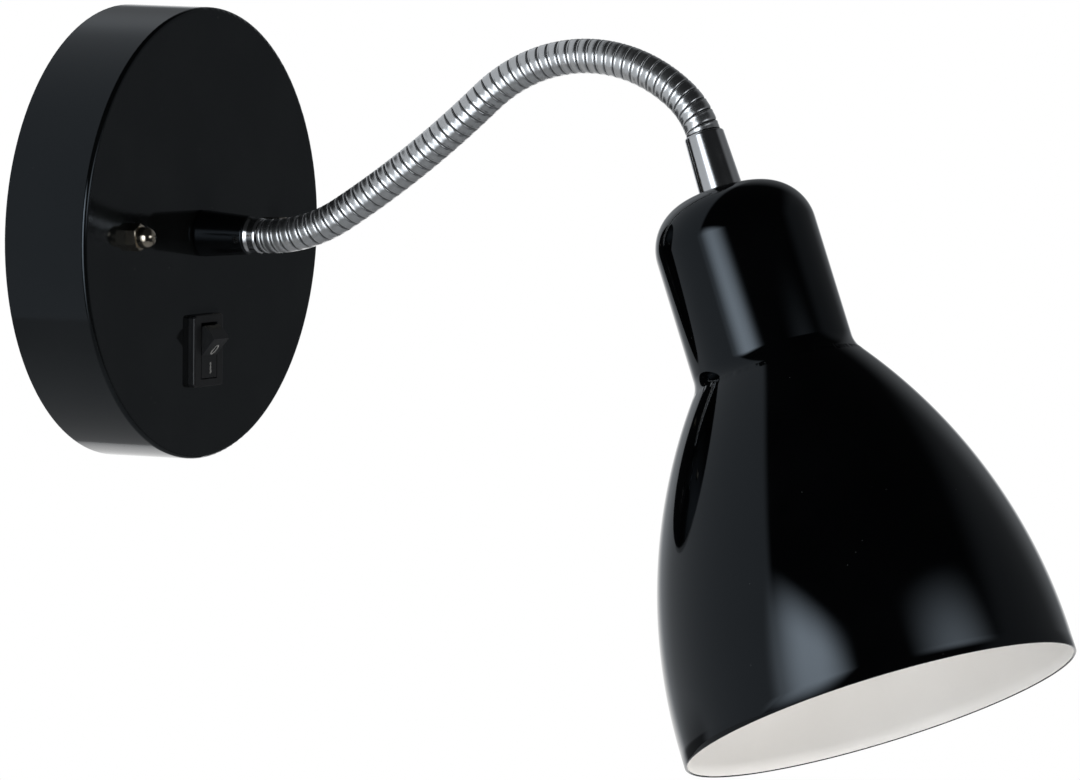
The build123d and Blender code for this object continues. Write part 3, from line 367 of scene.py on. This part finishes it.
for row in frame["record"]["subparts"]:
    node = frame["nodes"][row["node"]]
    node.data.materials.clear()
    node.data.materials.append(OWN_FINISHES.get(row["node"], FINISHES[row["material_slot"]]))


# The arm's line

def on_path(distance):
    """Point, direction along and direction across (in the arm's plane) of the arm's line, in millimetres."""
    reach, rise, heading = ARM_START, 0.0, 0.0
    for length, turn in BENDS:
        step = min(distance, length)
        bend = radians(turn) * step / length
        chord = step if bend == 0 else 2 * step / bend * sin(bend / 2)
        reach += chord * cos(heading + bend / 2)
        rise += chord * sin(heading + bend / 2)
        heading += bend
        distance -= step
    reach += distance * cos(heading)
    rise += distance * sin(heading)
    point = OUTWARD * reach + RISE * rise
    along = OUTWARD * cos(heading) + RISE * sin(heading)
    across = RISE * cos(heading) - OUTWARD * sin(heading)
    return point, along, across


def round_the_arm(distance, angle, radius):
    """A point on a circle about the arm's line, in metres."""
    point, _, across = on_path(distance)
    return (point + SIDE * (radius * cos(angle)) + across * (radius * sin(angle))) * MM


def link(name, mesh, *materials):
    """A new object that holds a bmesh."""
    data = bpy.data.meshes.new(name)
    bmesh.ops.recalc_face_normals(mesh, faces=mesh.faces)
    mesh.to_mesh(data)
    mesh.free()
    for material in materials:
        data.materials.append(material)
    made = bpy.data.objects.new(name, data)
    bpy.context.scene.collection.objects.link(made)
    return made


def smooth_below(mesh, crease):
    """Smooth shading, with edges that turn by more than an angle in degrees kept crisp."""
    for face in mesh.faces:
        face.smooth = True
    for edge in mesh.edges:
        edge.smooth = edge.calc_face_angle(0.0) < radians(crease)


# One turn of strip, across its width: distance from the groove and radius, a rolled edge then a low crown
STRIP = [
    (0.00, 4.50),
    (0.09, 4.52),
    (0.15, 4.70),
    (0.22, 4.88),
    (0.33, 4.97),
    (0.48, 5.00),
    (0.64, 4.985),
    (0.80, 4.945),
    (1.00, 4.935),
    (1.50, 4.960),
    (2.00, 4.975),
    (2.45, 4.970),
    (2.70, 4.945),
    (2.86, 4.87),
    (2.96, 4.72),
    (3.04, 4.53),
]
STEPS = 56
ROWS = len(STRIP)
MID_STRIP = (0.0, 0.5)
STRIP_CREASE = 50.0


def wound_strip(first_turn, turns):
    """A run of wound strip as one closed helical shell; turn 0 starts at the collar."""
    mesh = bmesh.new()
    uv = mesh.loops.layers.uv.new("strip")
    outer, inner = {}, {}
    for column in range((turns + 1) * STEPS + 1):
        turn = first_turn + column / STEPS
        angle = 2 * pi * column / STEPS
        inner[column] = mesh.verts.new(round_the_arm(turn * TURN_PITCH, angle, ARM_BORE))
        rows = STRIP if column <= turns * STEPS else STRIP[:1]
        for row, (offset, radius) in enumerate(rows):
            outer[column, row] = mesh.verts.new(round_the_arm(turn * TURN_PITCH + offset, angle, radius))

    def corner(column, row):
        return outer[column + STEPS, 0] if row == ROWS else outer[column, row]

    def face(*corners, marks=None):
        made = mesh.faces.new(corners)
        for loop, mark in zip(made.loops, marks or [MID_STRIP] * len(corners)):
            loop[uv].uv = mark

    across = [offset / TURN_PITCH for offset, _ in STRIP] + [1.0]
    for column in range(turns * STEPS):
        here, there = column / STEPS, (column + 1) / STEPS
        for row in range(ROWS):
            low, high = across[row], across[row + 1]
            face(
                corner(column, row),
                corner(column + 1, row),
                corner(column + 1, row + 1),
                corner(column, row + 1),
                marks=[(here, low), (there, low), (there, high), (here, high)],
            )
        face(inner[column], inner[column + STEPS], inner[column + STEPS + 1], inner[column + 1])
    last = turns * STEPS
    for column in range(STEPS):
        face(inner[column], inner[column + 1], outer[column + 1, 0], outer[column, 0])
        far = last + column
        face(outer[far, 0], outer[far + 1, 0], inner[far + 1], inner[far])
    for column in (0, last):
        face(*[corner(column, row) for row in range(ROWS + 1)], inner[column + STEPS], inner[column])
    return mesh


def trim(mesh, distance, keep_after):
    """Cuts a wound run square to the arm and closes the cut."""
    point, along, _ = on_path(distance)
    everything = mesh.verts[:] + mesh.edges[:] + mesh.faces[:]
    cut = bmesh.ops.bisect_plane(
        mesh,
        geom=everything,
        plane_co=point * MM,
        plane_no=along,
        clear_inner=keep_after,
        clear_outer=not keep_after,
    )
    edges = [part for part in cut["geom_cut"] if isinstance(part, bmesh.types.BMEdge)]
    bmesh.ops.triangle_fill(mesh, edges=edges, use_beauty=True)


def add_stub(mesh, low, high):
    """Adds the plain end of the arm that sits in the collar or the ferrule."""
    uv = mesh.loops.layers.uv.active
    rings = []
    for distance, radius in ((low, ARM_BORE), (low, STUB_RADIUS), (high, STUB_RADIUS), (high, ARM_BORE)):
        angles = [2 * pi * step / STEPS for step in range(STEPS)]
        rings.append([mesh.verts.new(round_the_arm(distance, angle, radius)) for angle in angles])
    for ring, following in zip(rings, rings[1:] + rings[:1]):
        for step in range(STEPS):
            after = (step + 1) % STEPS
            made = mesh.faces.new((ring[step], ring[after], following[after], following[step]))
            for loop in made.loops:
                loop[uv].uv = MID_STRIP


COLLAR_GAP = 0.3
BEND_REACH = 7.0
HALF = TURNS_PER_LENGTH // 2
BODIES = ["wall_mount"] + [f"arm_link_{number}" for number in range(2, ARM_COUNT)] + ["head"]

start_run = wound_strip(-1, HALF + 1)
trim(start_run, COLLAR_GAP, keep_after=True)
add_stub(start_run, -STUB_LENGTH, COLLAR_GAP)
smooth_below(start_run, STRIP_CREASE)
arm_strip_0 = link("arm_strip_0", start_run, WOUND_CHROME)
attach(arm_strip_0, BODIES[0])
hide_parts("gooseneck_1")

for number in range(1, ARM_COUNT):
    run = wound_strip(HALF + (number - 1) * TURNS_PER_LENGTH, TURNS_PER_LENGTH)
    smooth_below(run, STRIP_CREASE)
    strip = link(f"arm_strip_{number}", run, WOUND_CHROME)
    joint, along, _ = on_path(number * LENGTH)
    reach = along * BEND_REACH
    (joint - reach) * MM
    (joint + reach) * MM
    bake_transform(strip)
    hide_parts(f"gooseneck_{number + 1}")

end_run = wound_strip(HALF + (ARM_COUNT - 1) * TURNS_PER_LENGTH, HALF + 1)
trim(end_run, ARM_LENGTH - COLLAR_GAP, keep_after=False)
add_stub(end_run, ARM_LENGTH - COLLAR_GAP, ARM_LENGTH + STUB_LENGTH)
smooth_below(end_run, STRIP_CREASE)
arm_strip_end = link("arm_strip_9", end_run, WOUND_CHROME)
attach(arm_strip_end, "head")
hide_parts("gooseneck_9")


# The shade

BELL_STEPS, CREASE_STEPS, TOP_STEPS = 56, 24, 20
SHADE_STEPS = 360
SHADE_CREASE = 35.0
BLACK_SIDE, WHITE_SIDE = 0, 1
EDGE_ROUND = 0.25


def arc(centre, radius, start, end, steps):
    """Points along an arc, angles in degrees from the outward direction up the axis."""
    angles = [radians(start + (end - start) * step / steps) for step in range(steps + 1)]
    return [(centre[0] + radius * cos(a), centre[1] + radius * sin(a)) for a in angles]


def shade_line(inset):
    """Bell, crease, neck and rounded top as (radius, height) from the rim up, moved in by the sheet."""
    bell_centre = (RIM_RADIUS - BELL_RADIUS, RIM_BAND)
    crease_radius = NECK_RADIUS + CREASE_ROUND
    spread = BELL_RADIUS + CREASE_ROUND
    crease_height = RIM_BAND + sqrt(spread**2 - (crease_radius - bell_centre[0]) ** 2)
    to_crease = Vector((crease_height - RIM_BAND, crease_radius - bell_centre[0]))
    lean = 90.0 - degrees(to_crease.angle_signed((1, 0)))
    round_centre = (NECK_RADIUS - NECK_TOP_ROUND, SHADE_HEIGHT - NECK_TOP_ROUND)
    return [
        *arc(bell_centre, BELL_RADIUS - inset, 0.0, lean, BELL_STEPS),
        *arc((crease_radius, crease_height), CREASE_ROUND + inset, 180.0 + lean, 180.0, CREASE_STEPS),
        *arc(round_centre, NECK_TOP_ROUND - inset, 0.0, 90.0, TOP_STEPS),
    ]


def turned(mesh, outline, origin, up, side, steps, materials):
    """Turns a closed outline of (radius, height) about an axis; each of its edges has a material's number."""
    out = up.cross(side)
    rings = []
    for radius, height in outline:
        ring = []
        for step in range(steps):
            angle = 2 * pi * step / steps
            spoke = side * cos(angle) + out * sin(angle)
            ring.append(mesh.verts.new((origin + up * height + spoke * radius) * MM))
        rings.append(ring)
    for ring, following, material in zip(rings, rings[1:] + rings[:1], materials):
        for step in range(steps):
            after = (step + 1) % steps
            made = mesh.faces.new((ring[step], ring[after], following[after], following[step]))
            made.material_index = material


arm_tip, arm_down, _ = on_path(ARM_LENGTH)
HEAD_UP = -arm_down
RIM_CENTRE = arm_tip + arm_down * (SHADE_HEIGHT + FERRULE_LENGTH)

outside = [
    (RIM_RADIUS - EDGE_ROUND, 0.0),
    (RIM_RADIUS, EDGE_ROUND),
    *shade_line(0.0),
    (NECK_HOLE, SHADE_HEIGHT),
]
inside = [
    (RIM_RADIUS - SHADE_SHEET + EDGE_ROUND, 0.0),
    (RIM_RADIUS - SHADE_SHEET, EDGE_ROUND),
    *shade_line(SHADE_SHEET),
    (NECK_HOLE, SHADE_HEIGHT - SHADE_SHEET),
]
# The last two edges are the sheet's own edge at the rim
sides = [BLACK_SIDE] * len(outside) + [WHITE_SIDE] * (len(inside) - 2) + [BLACK_SIDE] * 2
shell = bmesh.new()
turned(shell, outside + inside[::-1], RIM_CENTRE, HEAD_UP, SIDE, SHADE_STEPS, sides)
smooth_below(shell, SHADE_CREASE)
lamp_shade = link("lamp_shade", shell, SHADE_ENAMEL, SHADE_WHITE)
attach(lamp_shade, "head")
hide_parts("shade")


# Collar: a lip at the boss, a plain band and a rounded front, with the spigot that sits in the boss

COLLAR_STEPS = 96
COLLAR_CREASE = 40.0
COLLAR_LINE = [
    (ARM_BORE, BOSS_TIP - SPIGOT_LENGTH),
    (SPIGOT_RADIUS, BOSS_TIP - SPIGOT_LENGTH),
    (SPIGOT_RADIUS, BOSS_TIP),
    (5.20, BOSS_TIP),
    (5.42, BOSS_TIP + 0.10),
    (5.50, BOSS_TIP + 0.32),
    (5.46, BOSS_TIP + 0.55),
    (5.22, BOSS_TIP + 1.30),
    (5.17, BOSS_TIP + 1.70),
    (5.17, ARM_START - 1.10),
    (5.10, ARM_START - 0.50),
    (4.85, ARM_START - 0.10),
    (4.60, ARM_START),
    (STUB_RADIUS + FIT, ARM_START),
    (STUB_RADIUS + FIT, ARM_START - STUB_LENGTH),
    (ARM_BORE, ARM_START - STUB_LENGTH),
]
ring = bmesh.new()
turned(ring, COLLAR_LINE, Vector(), OUTWARD, SIDE, COLLAR_STEPS, [0] * len(COLLAR_LINE))
smooth_below(ring, COLLAR_CREASE)
collar_ring = link("collar_ring", ring, FINISHES["chrome"])
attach(collar_ring, "wall_mount")
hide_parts("arm_collar")


# Leads behind the plate and above the bulb holder, and the flex where it enters the boss

WIRE_STEPS = 16
WIRE_ROUNDING = 5


def wire(name, routes, radius, body, node, finish):
    """Smooth wires along routes of control points, in millimetres."""
    curve = bpy.data.curves.new(name, "CURVE")
    curve.dimensions = "3D"
    curve.resolution_u = WIRE_STEPS
    curve.bevel_depth = radius * MM
    curve.bevel_resolution = WIRE_ROUNDING
    curve.use_fill_caps = True
    curve.materials.append(FINISHES[finish])
    for route in routes:
        spline = curve.splines.new("NURBS")
        spline.points.add(len(route) - 1)
        for point, place in zip(spline.points, route):
            point.co = (*(Vector(place) * MM), 1.0)
        spline.order_u = 3
        spline.use_endpoint_u = True
    made = bpy.data.objects.new(name, curve)
    bpy.context.scene.collection.objects.link(made)
    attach(made, body)
    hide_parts(node)


def in_head(side, out, height):
    """A point in the head: across to the arm's side, along the swing and up the axis."""
    return RIM_CENTRE + SIDE * side + SIDE.cross(HEAD_UP) * out + HEAD_UP * height


SUPPLY_ROUTE = [
    (-POLE_STEP, -POLE_DEPTH, POLE_FOOT),
    (-POLE_STEP, -POLE_DEPTH, 12.0),
    (-POLE_STEP, -LEAD_LAYER, -8.0),
    (-BLADE_SIDE, -BLADE_DEPTH, -25.0),
    (-BLADE_SIDE, -BLADE_DEPTH, -33.0),
]
SWITCHED_ROUTE = [
    (LEAD_RADIUS, -FLEX_START, 0.0),
    (LEAD_RADIUS, -11.0, 0.0),
    (1.6, -LEAD_LAYER, -4.0),
    (BLADE_SIDE, -LEAD_LAYER, -12.0),
    (BLADE_SIDE, -BLADE_DEPTH, -27.5),
]
NEUTRAL_ROUTE = [
    (-LEAD_RADIUS, -FLEX_START, 0.0),
    (-LEAD_RADIUS, -11.0, 0.0),
    (-LEAD_RADIUS, -LEAD_LAYER, 4.0),
    (0.0, -POLE_DEPTH, 13.0),
    (0.0, -POLE_DEPTH, POLE_FOOT),
]
EARTH_ROUTE = [
    (13.0, -23.35, 0.0),
    (13.0, -23.35, 3.5),
    (12.5, -15.0, 9.0),
    (POLE_STEP, -POLE_DEPTH, 12.0),
    (POLE_STEP, -POLE_DEPTH, POLE_FOOT),
]
HOLDER_ROUTES = [
    [
        in_head(side * LEAD_RADIUS, 0, 142.5),
        in_head(side * LEAD_RADIUS, 0, 139.5),
        in_head(side * 2.6, side * 3.3, 137.0),
        in_head(side * 3.6, side * 3.25, 133.05),
        in_head(side * 6.5, side * 3.25, 133.05),
    ]
    for side in (-1, 1)
]
flex_bend = RISE_RADIUS * tan((LENGTH - LEAD_STRAIGHT) / RISE_RADIUS / 2)
FLEX_ROUTE = [
    OUTWARD * FLEX_START,
    OUTWARD * 31.0,
    on_path(LEAD_STRAIGHT)[0],
    on_path(LEAD_STRAIGHT)[0] + OUTWARD * flex_bend,
    on_path(LENGTH)[0],
]
wire("supply_wire", [SUPPLY_ROUTE], LEAD_RADIUS, "wall_mount", "lead_supply", "brown_lead")
wire("switched_wire", [SWITCHED_ROUTE], LEAD_RADIUS, "wall_mount", "lead_switched", "brown_lead")
wire("neutral_wire", [NEUTRAL_ROUTE], LEAD_RADIUS, "wall_mount", "lead_neutral", "blue_lead")
wire("earth_wire", [EARTH_ROUTE], LEAD_RADIUS, "wall_mount", "lead_earth", "earth_lead")
wire("holder_wires", HOLDER_ROUTES, LEAD_RADIUS, "head", "holder_leads", "white_lead")
wire("flex_end", [FLEX_ROUTE], FLEX_RADIUS, "wall_mount", "arm_flex_1", "flex_sheath")


# Marks printed on the rocker's two flats

RING_WIDTH, RING_HEIGHT = 2.6, 3.8
BAR_HEIGHT = 3.4
MARK_STROKE = 0.55
BAR_STROKE = 0.8
MARK_PROUD = 0.03
RING_DROP, BAR_DROP = 1.1, 0.4
MARK_ASIDE = 0.8
RING_STEPS = 40
BAR_END_STEPS = 12
tilt = radians(ROCKER_TILT)
pivot = Vector((0, ROCKER_PIVOT_DEPTH - BEZEL_FRONT, -SWITCH_DROP))
valley = ROCKER_PIVOT_DEPTH / cos(tilt)
flat_length = sqrt((ROCKER_LENGTH / 2) ** 2 - ROCKER_PIVOT_DEPTH**2) - ROCKER_PIVOT_DEPTH * tan(tilt)


def flat_frame(turn, rise):
    """A point on a flat, up from the valley, with the directions up the flat and straight out of it."""
    up = Vector((0, -sin(turn), cos(turn)))
    out = Vector((0, -cos(turn), -sin(turn)))
    valley_point = pivot + Vector((MARK_ASIDE, -cos(tilt) * valley, -sin(tilt) * valley))
    return valley_point + up * rise, up, out


def loop_at(mesh, loop, centre, up):
    """Corners of a closed loop of (across, up) points about a centre."""
    return [mesh.verts.new((centre + Vector((x, 0, 0)) + up * y) * MM) for x, y in loop]


def join(mesh, near, far):
    """Faces between two loops that match one to one."""
    for step in range(len(near)):
        after = (step + 1) % len(near)
        mesh.faces.new((near[step], near[after], far[after], far[step]))


def raised_ring(mesh, outer, inner, centre, up, out):
    """A thin raised print between two loops."""
    top = centre + out * MARK_PROUD
    low_outer, low_inner = loop_at(mesh, outer, centre, up), loop_at(mesh, inner, centre, up)
    high_outer, high_inner = loop_at(mesh, outer, top, up), loop_at(mesh, inner, top, up)
    join(mesh, high_outer, high_inner)
    join(mesh, low_inner, low_outer)
    join(mesh, low_outer, high_outer)
    join(mesh, high_inner, low_inner)


def raised_bar(mesh, outline, centre, up, out):
    """A thin raised print that fills a loop."""
    low, high = loop_at(mesh, outline, centre, up), loop_at(mesh, outline, centre + out * MARK_PROUD, up)
    join(mesh, low, high)
    mesh.faces.new(high)
    mesh.faces.new(low[::-1])


def ring_loop(inset):
    """An upright oval."""
    turns = [2 * pi * step / RING_STEPS for step in range(RING_STEPS)]
    return [((RING_WIDTH / 2 - inset) * cos(a), (RING_HEIGHT / 2 - inset) * sin(a)) for a in turns]


def bar_loop(half_width, half_height):
    """A bar with round ends."""
    straight = half_height - half_width
    turns = [pi * step / BAR_END_STEPS for step in range(BAR_END_STEPS + 1)]
    upper = [(half_width * cos(a), straight + half_width * sin(a)) for a in turns]
    return upper + [(-x, -y) for x, y in upper]


off_print = bmesh.new()
off_place = flat_frame(2 * tilt, flat_length / 2 - RING_DROP)
raised_ring(off_print, ring_loop(0.0), ring_loop(MARK_STROKE), *off_place)
on_print = bmesh.new()
raised_bar(on_print, bar_loop(BAR_STROKE / 2, BAR_HEIGHT / 2), *flat_frame(0.0, -flat_length / 2 - BAR_DROP))
for name, mesh in (("off_mark", off_print), ("on_mark", on_print)):
    mark = link(name, mesh, MARK_INK)
    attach(mark, "rocker")


# Camera at the photograph's angle

VIEW_AZIMUTH, VIEW_ELEVATION, VIEW_ROLL = radians(-60.34), radians(4.21), radians(0.53)
VIEW_DISTANCE = 4.0
FOCAL_PIXELS = 13760.0
ORIGIN_PIXEL = (124.0, 229.5)
IMAGE_SIZE = (1080, 780)

back = Vector((
    sin(VIEW_AZIMUTH) * cos(VIEW_ELEVATION),
    -cos(VIEW_AZIMUTH) * cos(VIEW_ELEVATION),
    sin(VIEW_ELEVATION),
))
level = Vector((cos(VIEW_AZIMUTH), sin(VIEW_AZIMUTH), 0))
right = level * cos(VIEW_ROLL) + back.cross(level) * sin(VIEW_ROLL)
upright = back.cross(right)
shift_right = (ORIGIN_PIXEL[0] - IMAGE_SIZE[0] / 2) * VIEW_DISTANCE / FOCAL_PIXELS
shift_up = (IMAGE_SIZE[1] / 2 - ORIGIN_PIXEL[1]) * VIEW_DISTANCE / FOCAL_PIXELS

camera_data = bpy.data.cameras.new("camera")
camera_data.sensor_width = 36.0
camera_data.lens = FOCAL_PIXELS * camera_data.sensor_width / IMAGE_SIZE[0]
camera_data.clip_end = 50.0
camera = bpy.data.objects.new("camera", camera_data)
bpy.context.scene.collection.objects.link(camera)
stand = back * VIEW_DISTANCE - right * shift_right - upright * shift_up
camera.matrix_world = Matrix.Translation(stand) @ Matrix((right, upright, back)).transposed().to_4x4()
bpy.context.scene.camera = camera


# Studio in metres: soft boxes that face the low part of the bell, the floor and a dim tent round them

LOW_BELL = Vector((-0.03, -0.28, -0.09))
FLOOR_RADIUS = 1.6
FLOOR_STEPS = 96
FLOOR_PLACE = (0, -0.15, -1.1)
DARK = (0.0, 0.0, 0.0)
WHITE = (1.0, 1.0, 1.0)
COOL_TENT = (0.95, 1.0, 1.05)


def studio_direction(left, rise):
    """Direction from the lamp, in degrees left of the camera and up."""
    turn = VIEW_AZIMUTH - radians(left)
    return Vector((sin(turn) * cos(radians(rise)), -cos(turn) * cos(radians(rise)), sin(radians(rise))))


def soft_box(name, place, size, distance, radiance, tint, edges):
    """A lamp that fades at its sides, foot and top; place and size are degrees seen from the low bell."""
    lamp = bpy.data.lights.new(name, "AREA")
    lamp.shape = "RECTANGLE"
    lamp.size, lamp.size_y = [2 * distance * tan(radians(span / 2)) for span in size]
    lamp.energy = radiance * pi * lamp.size * lamp.size_y
    lamp.color = tint
    lamp.use_nodes = True
    cloth = Nodes(lamp.node_tree)
    across, up, _ = cloth.parts_of(cloth.node("ShaderNodeNewGeometry", {}, {}, output="Parametric"))
    sides, foot, top = edges
    fade = across.least(1 - across).step(0.0, sides) * up.step(0.0, foot) * (1 - up).step(0.0, top)
    cloth.feed(lamp.node_tree.nodes["Emission"].inputs["Strength"], fade)
    placed = bpy.data.objects.new(name, lamp)
    direction = studio_direction(*place)
    placed.location = LOW_BELL + direction * distance
    placed.rotation_euler = direction.to_track_quat("Z", "Y").to_euler()
    placed.visible_camera = False
    bpy.context.scene.collection.objects.link(placed)
    return placed


soft_box(
    "key_box",
    place=(38.0, -5.0),
    size=(54.0, 74.0),
    distance=0.85,
    radiance=4.3,
    tint=(0.88, 0.94, 1.0),
    edges=(0.45, 0.80, 0.22),
)
soft_box(
    "dim_box",
    place=(-50.0, 26.0),
    size=(60.0, 44.0),
    distance=0.5,
    radiance=2.0,
    tint=(0.90, 0.95, 1.0),
    edges=(0.5, 0.5, 0.5),
)
fill_box = soft_box(
    "fill_box",
    place=(-62.0, -60.0),
    size=(96.0, 70.0),
    distance=0.6,
    radiance=5.1,
    tint=(1.0, 0.985, 0.965),
    edges=(0.3, 0.3, 0.3),
)
fill_box.visible_glossy = False

# The floor shows white to the camera and a little of it in reflections, most by the wall
floor_mesh = bmesh.new()
bmesh.ops.create_circle(floor_mesh, cap_ends=True, segments=FLOOR_STEPS, radius=FLOOR_RADIUS)
floor_paint = Finish("floor_paint", Roughness=0.9, Emission_Strength=0.85)
looked_at, mirrored, seen_through = floor_paint.rays()
by_the_wall = floor_paint.parts_of(floor_paint.place())[1].step(0.35, 0.75)
glow = looked_at.most(mirrored.most(seen_through) * (0.03 + 0.18 * by_the_wall))
mottle = floor_paint.noise(floor_paint.place(), 3.0)
floor_paint.colour(floor_paint.mix(mottle, (0.78, 0.78, 0.78), (0.80, 0.80, 0.80)))
floor_light = floor_paint.mix(glow, DARK, WHITE)
floor_paint.feed(floor_paint.shader.inputs["Emission Color"], floor_light)
floor = link("floor", floor_mesh, floor_paint.material)
floor.location = FLOOR_PLACE

world = bpy.data.worlds.new("studio")
world.use_nodes = True
bpy.context.scene.world = world
room = Nodes(world.node_tree)
gaze = room.node("ShaderNodeTexCoord", {}, {}, output="Generated")
gaze_x, gaze_y, gaze_z = room.parts_of(gaze)
camera_ray, glossy_ray, through_ray = room.rays()


def towards(left, rise):
    """How far the gaze agrees with a direction of the studio."""
    return room.dot(gaze, tuple(studio_direction(left, rise)))


# White background for the camera, and for reflections where it lies behind the lamp
behind = towards(180.0, -16.0).step(cos(radians(29.0)), cos(radians(12.0)))
backdrop = camera_ray.most(glossy_ray.most(through_ray) * behind)

# Dim tent: paler towards the wall, on the open side and round the background
low_behind = gaze_x.step(-0.15, 0.05) * (1 - gaze_z.step(-0.30, -0.16))
wall_side = gaze_y.step(0.40, 0.47) * (1 - gaze_x.step(0.55, 0.85)) * (1 - 0.8 * low_behind)
open_side = towards(-118.0, -8.0).step(0.52, 0.76) * gaze_z.step(-0.6, -0.3)
halo = towards(180.0, 8.0).step(cos(radians(46.0)), cos(radians(18.0)))
tent = 0.012 + 0.38 * wall_side + 0.10 * open_side + 0.15 * halo
sky = world.node_tree.nodes["Background"]
room.feed(sky.inputs["Strength"], backdrop + (1 - backdrop) * tent)
room.feed(sky.inputs["Color"], room.mix(backdrop, COOL_TENT, WHITE))

bpy.context.scene.view_settings.view_transform = "Standard"
